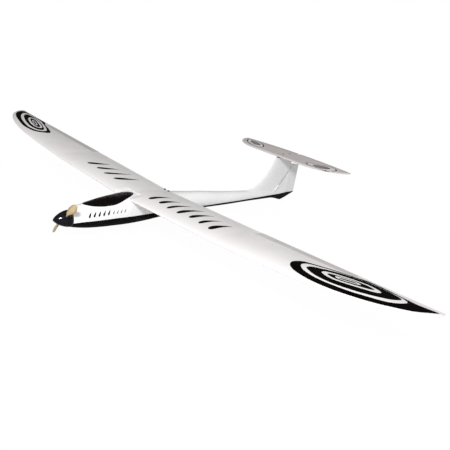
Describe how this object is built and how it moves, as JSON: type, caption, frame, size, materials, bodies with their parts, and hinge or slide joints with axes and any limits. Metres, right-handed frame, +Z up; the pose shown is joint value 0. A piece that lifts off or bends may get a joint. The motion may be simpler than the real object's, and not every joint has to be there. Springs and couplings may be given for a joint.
{
  "type": "rc sailplane",
  "caption": "Radio controlled electric sailplane with a pod and boom fuselage, polyhedral wing with ailerons, T tail and folding propeller.",
  "frame": {"origin": "centre of the flat of the belly, under the wing", "axes": "+X towards the port (left) wing tip, -Y towards the nose, +Z up"},
  "size_m": [1.997, 1.1, 0.2224],
  "materials": {
    "white_film": "glossy heat-shrunk film over sheeted panels",
    "grey_film": "satin film",
    "white_gelcoat": "polished gelcoat",
    "black_gloss": "gloss",
    "smoked_canopy": "dark gloss",
    "tan_nylon": "semi-matte",
    "aluminium": "turned",
    "steel": "bright",
    "birch_ply": "bare ply",
    "shrink_wrap": "shrink wrap",
    "black_nylon": "satin",
    "servo_case": "satin",
    "white_nylon": "satin",
    "carbon": "satin"
  },
  "bodies": {
    "airframe": {"aileron_servo_port": "servo_case", "aileron_servo_starboard": "servo_case", "battery_pack": "shrink_wrap", "battery_tray": "birch_ply", "elevator_guide_sleeve": "white_nylon", "elevator_pin_port": "steel", "elevator_pin_starboard": "steel", "elevator_servo": "servo_case", "firewall": "birch_ply", "fuselage_shell": "white_gelcoat", "motor": "steel", "pushrod_exit_fairing": "white_gelcoat", "receiver": "shrink_wrap", "rudder_pin_lower": "steel", "rudder_pin_upper": "steel", "rudder_servo": "servo_case", "servo_tray": "birch_ply", "speed_controller": "black_nylon", "stabilizer": "grey_film", "tail_bolt_front": "steel", "tail_bolt_rear": "steel", "tail_skid": "black_gloss", "tailplane_seat": "white_gelcoat", "tip_joiner_port": "carbon", "tip_joiner_starboard": "carbon", "wing_bolt_plate": "birch_ply", "wing_bolt_port": "black_nylon", "wing_bolt_starboard": "black_nylon", "wing_centre_panel_port": "white_film", "wing_centre_panel_starboard": "white_film", "wing_former": "birch_ply", "wing_joiner": "carbon", "wing_tip_panel_port": "white_film", "wing_tip_panel_starboard": "white_film"},
    "propeller": {"spinner": "black_gloss", "spinner_backplate": "aluminium", "propeller_yoke": "aluminium", "motor_shaft": "steel", "fold_pin_a": "steel", "fold_pin_b": "steel"},
    "blade_a": {"propeller_blade_a": "tan_nylon"},
    "blade_b": {"propeller_blade_b": "tan_nylon"},
    "canopy": {"canopy": "smoked_canopy"},
    "rudder": {"rudder": "white_gelcoat", "rudder_horn": "white_nylon"},
    "elevator": {"elevator": "grey_film", "elevator_horn": "white_nylon"},
    "aileron_port": {"aileron_port": "grey_film", "aileron_horn_port": "white_nylon"},
    "aileron_starboard": {"aileron_starboard": "grey_film", "aileron_horn_starboard": "white_nylon"},
    "rudder_arm": {"rudder_servo_arm": "white_nylon"},
    "elevator_arm": {"elevator_servo_arm": "white_nylon"},
    "aileron_arm_port": {"aileron_servo_arm_port": "white_nylon"},
    "aileron_arm_starboard": {"aileron_servo_arm_starboard": "white_nylon"},
    "rudder_wire": {"rudder_pushrod": "steel"},
    "elevator_wire_front": {"elevator_pushrod_front": "steel"},
    "elevator_wire_rear": {"elevator_pushrod_rear": "steel"},
    "aileron_wire_port": {"aileron_pushrod_port": "steel"},
    "aileron_wire_starboard": {"aileron_pushrod_starboard": "steel"}
  },
  "joints": [
    {"name": "propeller_spin", "type": "hinge", "parent": "airframe", "child": "propeller", "pos_m": [0, -0.225, 0.0357], "axis": [0, -1, 0], "continuous": true},
    {"name": "blade_a_fold", "type": "hinge", "parent": "propeller", "child": "blade_a", "pos_m": [0.01202, -0.221, 0.04772], "axis": [-0.7071, 0, 0.7071], "range_deg": [0, 45]},
    {"name": "blade_b_fold", "type": "hinge", "parent": "propeller", "child": "blade_b", "pos_m": [-0.01202, -0.221, 0.02368], "axis": [0.7071, 0, -0.7071], "range_deg": [0, 45]},
    {"name": "canopy_lift", "type": "slide", "parent": "airframe", "child": "canopy", "axis": [0, 0, 1], "range_m": [0, 0.06]},
    {"name": "rudder_hinge", "type": "hinge", "parent": "airframe", "child": "rudder", "pos_m": [0, 0.7815, 0.0932], "axis": [0, 0, 1], "range_deg": [-25, 25]},
    {"name": "elevator_hinge", "type": "hinge", "parent": "airframe", "child": "elevator", "pos_m": [0, 0.799, 0.1958], "axis": [1, 0, 0], "range_deg": [-20, 20]},
    {"name": "aileron_port_hinge", "type": "hinge", "parent": "airframe", "child": "aileron_port", "pos_m": [0.605, 0.11152, 0.11852], "axis": [0.9962, -0.0532, 0.0685], "range_deg": [-18, 18]},
    {"name": "aileron_starboard_hinge", "type": "hinge", "parent": "airframe", "child": "aileron_starboard", "pos_m": [-0.605, 0.11152, 0.11852], "axis": [0.9962, 0.0532, -0.0685], "range_deg": [-18, 18]},
    {"name": "rudder_arm_turn", "type": "hinge", "parent": "airframe", "child": "rudder_arm", "pos_m": [-0.019, 0.065, 0.0532], "axis": [0, 0, 1], "range_deg": [-38, 38]},
    {"name": "elevator_arm_turn", "type": "hinge", "parent": "airframe", "child": "elevator_arm", "pos_m": [0.019, 0.065, 0.0532], "axis": [0, 0, 1], "range_deg": [-29, 29]},
    {"name": "aileron_arm_port_turn", "type": "hinge", "parent": "airframe", "child": "aileron_arm_port", "pos_m": [0.5688, 0.061, 0.10459], "axis": [1, 0, 0], "range_deg": [-26, 26]},
    {"name": "aileron_arm_starboard_turn", "type": "hinge", "parent": "airframe", "child": "aileron_arm_starboard", "pos_m": [-0.5688, 0.061, 0.10459], "axis": [1, 0, 0], "range_deg": [-26, 26]},
    {"name": "rudder_wire_slide", "type": "slide", "parent": "airframe", "child": "rudder_wire", "axis": [-0.0135, 0.9998, -0.0117], "range_m": [-0.008, 0.008]},
    {"name": "elevator_wire_front_slide", "type": "slide", "parent": "airframe", "child": "elevator_wire_front", "axis": [0, 1, -0.0058], "range_m": [-0.006, 0.006]},
    {"name": "elevator_wire_rear_slide", "type": "slide", "parent": "airframe", "child": "elevator_wire_rear", "axis": [0.0138, 0.6036, 0.7972], "range_m": [-0.006, 0.006]},
    {"name": "aileron_wire_port_slide", "type": "slide", "parent": "airframe", "child": "aileron_wire_port", "axis": [0, 0.9887, 0.1499], "range_m": [-0.0045, 0.0045]},
    {"name": "aileron_wire_starboard_slide", "type": "slide", "parent": "airframe", "child": "aileron_wire_starboard", "axis": [0, 0.9887, 0.1499], "range_m": [-0.0045, 0.0045]}
  ],
  "couplings": [
    {"joint": "aileron_starboard_hinge", "follows": "aileron_port_hinge", "ratio": -1},
    {"joint": "aileron_arm_port_turn", "follows": "aileron_port_hinge", "ratio": 1.37},
    {"joint": "aileron_arm_starboard_turn", "follows": "aileron_port_hinge", "ratio": -1.37},
    {"joint": "aileron_wire_port_slide", "follows": "aileron_port_hinge", "m_per_rad": 0.013},
    {"joint": "aileron_wire_starboard_slide", "follows": "aileron_port_hinge", "m_per_rad": -0.013},
    {"joint": "rudder_arm_turn", "follows": "rudder_hinge", "ratio": -1.496},
    {"joint": "rudder_wire_slide", "follows": "rudder_hinge", "m_per_rad": -0.0172},
    {"joint": "elevator_arm_turn", "follows": "elevator_hinge", "ratio": -1.4},
    {"joint": "elevator_wire_front_slide", "follows": "elevator_hinge", "m_per_rad": 0.0161},
    {"joint": "elevator_wire_rear_slide", "follows": "elevator_hinge", "m_per_rad": 0.0161}
  ]
}
